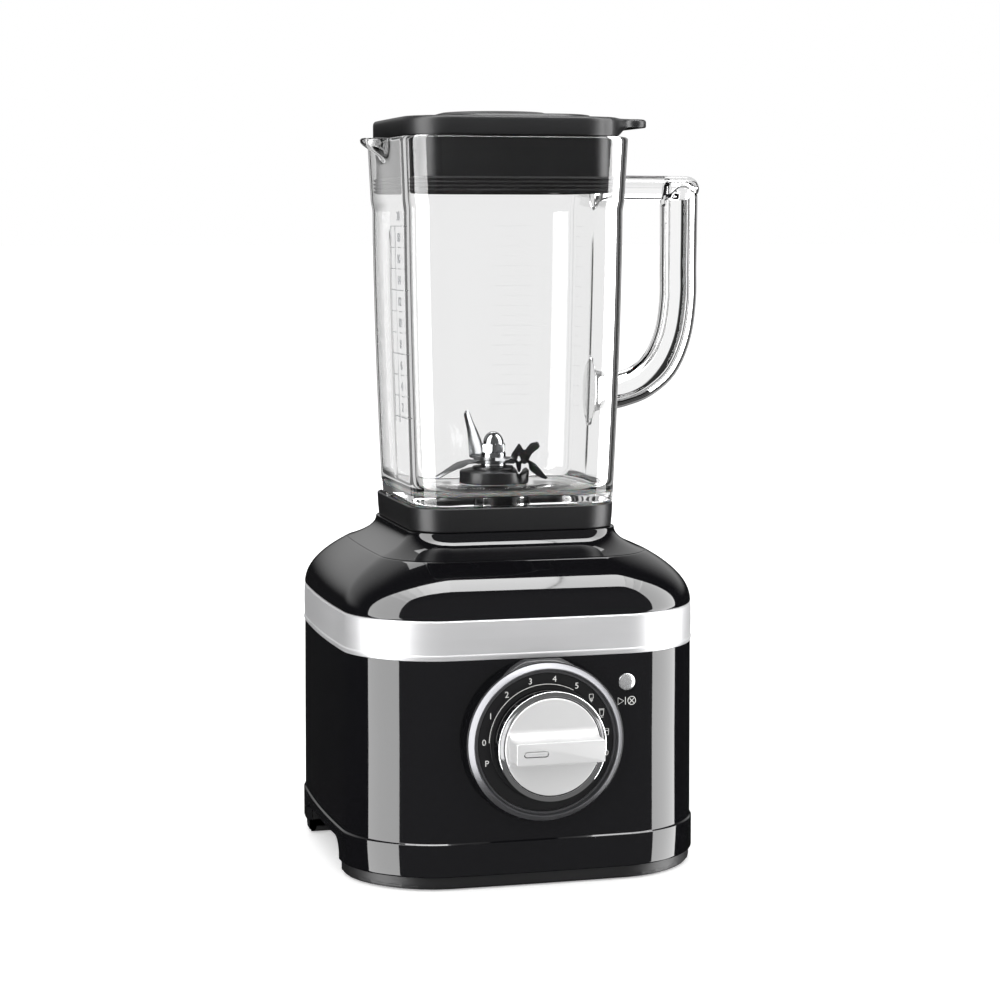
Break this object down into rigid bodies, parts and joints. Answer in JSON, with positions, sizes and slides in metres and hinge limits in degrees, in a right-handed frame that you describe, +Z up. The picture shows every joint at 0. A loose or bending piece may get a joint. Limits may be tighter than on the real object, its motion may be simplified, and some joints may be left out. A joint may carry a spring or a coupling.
{
  "type": "countertop blender",
  "caption": "Countertop blender: glossy black motor base with speed dial and start button, square glass jar with handle and spout, lid with removable cap, and lift-off blade jar.",
  "frame": {"origin": "on the table under the drive axis, at the centre of the base", "axes": "+Z up along the drive axis, -Y to the front with the dial, +X to the handle side"},
  "size_m": [0.2231, 0.2487, 0.4175],
  "materials": {
    "gloss_black": "high gloss",
    "satin_band": "satin",
    "matte_black": "matte",
    "satin_black": "satin",
    "black_rubber": "matte",
    "pale_gasket": "matte",
    "dark_chrome": "polished",
    "chrome": "polished",
    "brushed_aluminium": "brushed",
    "cast_aluminium": "cast",
    "steel": "plain",
    "blade_steel": "polished",
    "hub_black": "semi gloss",
    "lamination": "plain",
    "copper": "enamelled",
    "brass": "plain",
    "bronze": "sintered",
    "carbon": "matte",
    "coupler_black": "satin",
    "fan_plastic": "satin",
    "board_green": "satin",
    "component_black": "satin",
    "cream_plastic": "satin",
    "yellow_plastic": "satin",
    "clear_glass": "clear"
  },
  "bodies": {
    "base": {"base_housing": "gloss_black", "neck_cover": "gloss_black", "trim_band": "satin_band", "base_plate": "matte_black", "rubber_feet": "black_rubber", "base_screws": "steel", "cord_gland": "matte_black", "terminal_block": "cream_plastic", "noise_filter": "yellow_plastic", "dial_bezel": "dark_chrome", "dial_face": "gloss_black", "speed_switch": "component_black", "switch_nut": "steel", "control_board": "board_green", "board_components": "component_black", "heat_sink": "cast_aluminium", "start_switch": "matte_black", "motor_frame": "cast_aluminium", "rubber_mounts": "black_rubber", "mount_screws": "steel", "brush_bracket": "cast_aluminium", "stator_core": "lamination", "field_coils": "copper", "stator_bolts": "steel", "brush_holders": "brass", "carbon_brushes": "carbon", "upper_bearing": "steel", "lower_bearing": "steel", "air_duct": "matte_black", "shaft_seal": "black_rubber"},
    "knob": {"knob_shaft": "steel", "knob_skirt": "gloss_black", "knob_ring": "chrome", "knob_grip": "brushed_aluminium"},
    "button": {"start_button": "chrome"},
    "rotor": {"armature_core": "lamination", "armature_windings": "copper", "commutator": "copper", "motor_shaft": "steel", "cooling_fan": "fan_plastic", "drive_coupler": "coupler_black"},
    "jar": {"jar_glass": "clear_glass", "jar_collar": "matte_black", "foot_gasket": "pale_gasket", "blade_hub": "hub_black", "hub_gasket": "pale_gasket", "hub_nut": "steel", "blade_bushes": "bronze", "blade_seal": "black_rubber"},
    "blades": {"blade_shaft": "steel", "lower_blade": "blade_steel", "upper_blade": "blade_steel", "blade_washer": "steel", "acorn_nut": "steel", "jar_coupler": "coupler_black"},
    "lid": {"lid": "satin_black", "lid_seal": "black_rubber"},
    "cap": {"ingredient_cap": "satin_black", "cap_seal": "black_rubber"}
  },
  "joints": [
    {"name": "jar_lift", "type": "slide", "parent": "base", "child": "jar", "axis": [0, 0, 1], "range_m": [0, 0.2]},
    {"name": "lid_lift", "type": "slide", "parent": "jar", "child": "lid", "axis": [0, 0, 1], "range_m": [0, 0.12]},
    {"name": "cap_lift", "type": "slide", "parent": "lid", "child": "cap", "axis": [0, 0, 1], "range_m": [0, 0.05]},
    {"name": "knob_turn", "type": "hinge", "parent": "base", "child": "knob", "pos_m": [0, -0.12, 0.0807], "axis": [0, 1, 0], "range_deg": [-20, 194]},
    {"name": "button_press", "type": "slide", "parent": "base", "child": "button", "axis": [0, 1, 0], "range_m": [0, 0.0012], "stiffness_N_per_m": 400, "springref_m": -0.001},
    {"name": "motor_spin", "type": "hinge", "parent": "base", "child": "rotor", "pos_m": [0, 0, 0.1], "axis": [0, 0, 1], "continuous": true},
    {"name": "blade_spin", "type": "hinge", "parent": "jar", "child": "blades", "pos_m": [0, 0, 0.21], "axis": [0, 0, 1], "continuous": true}
  ],
  "couplings": [
    {"joint": "blade_spin", "follows": "motor_spin", "ratio": 1}
  ]
}
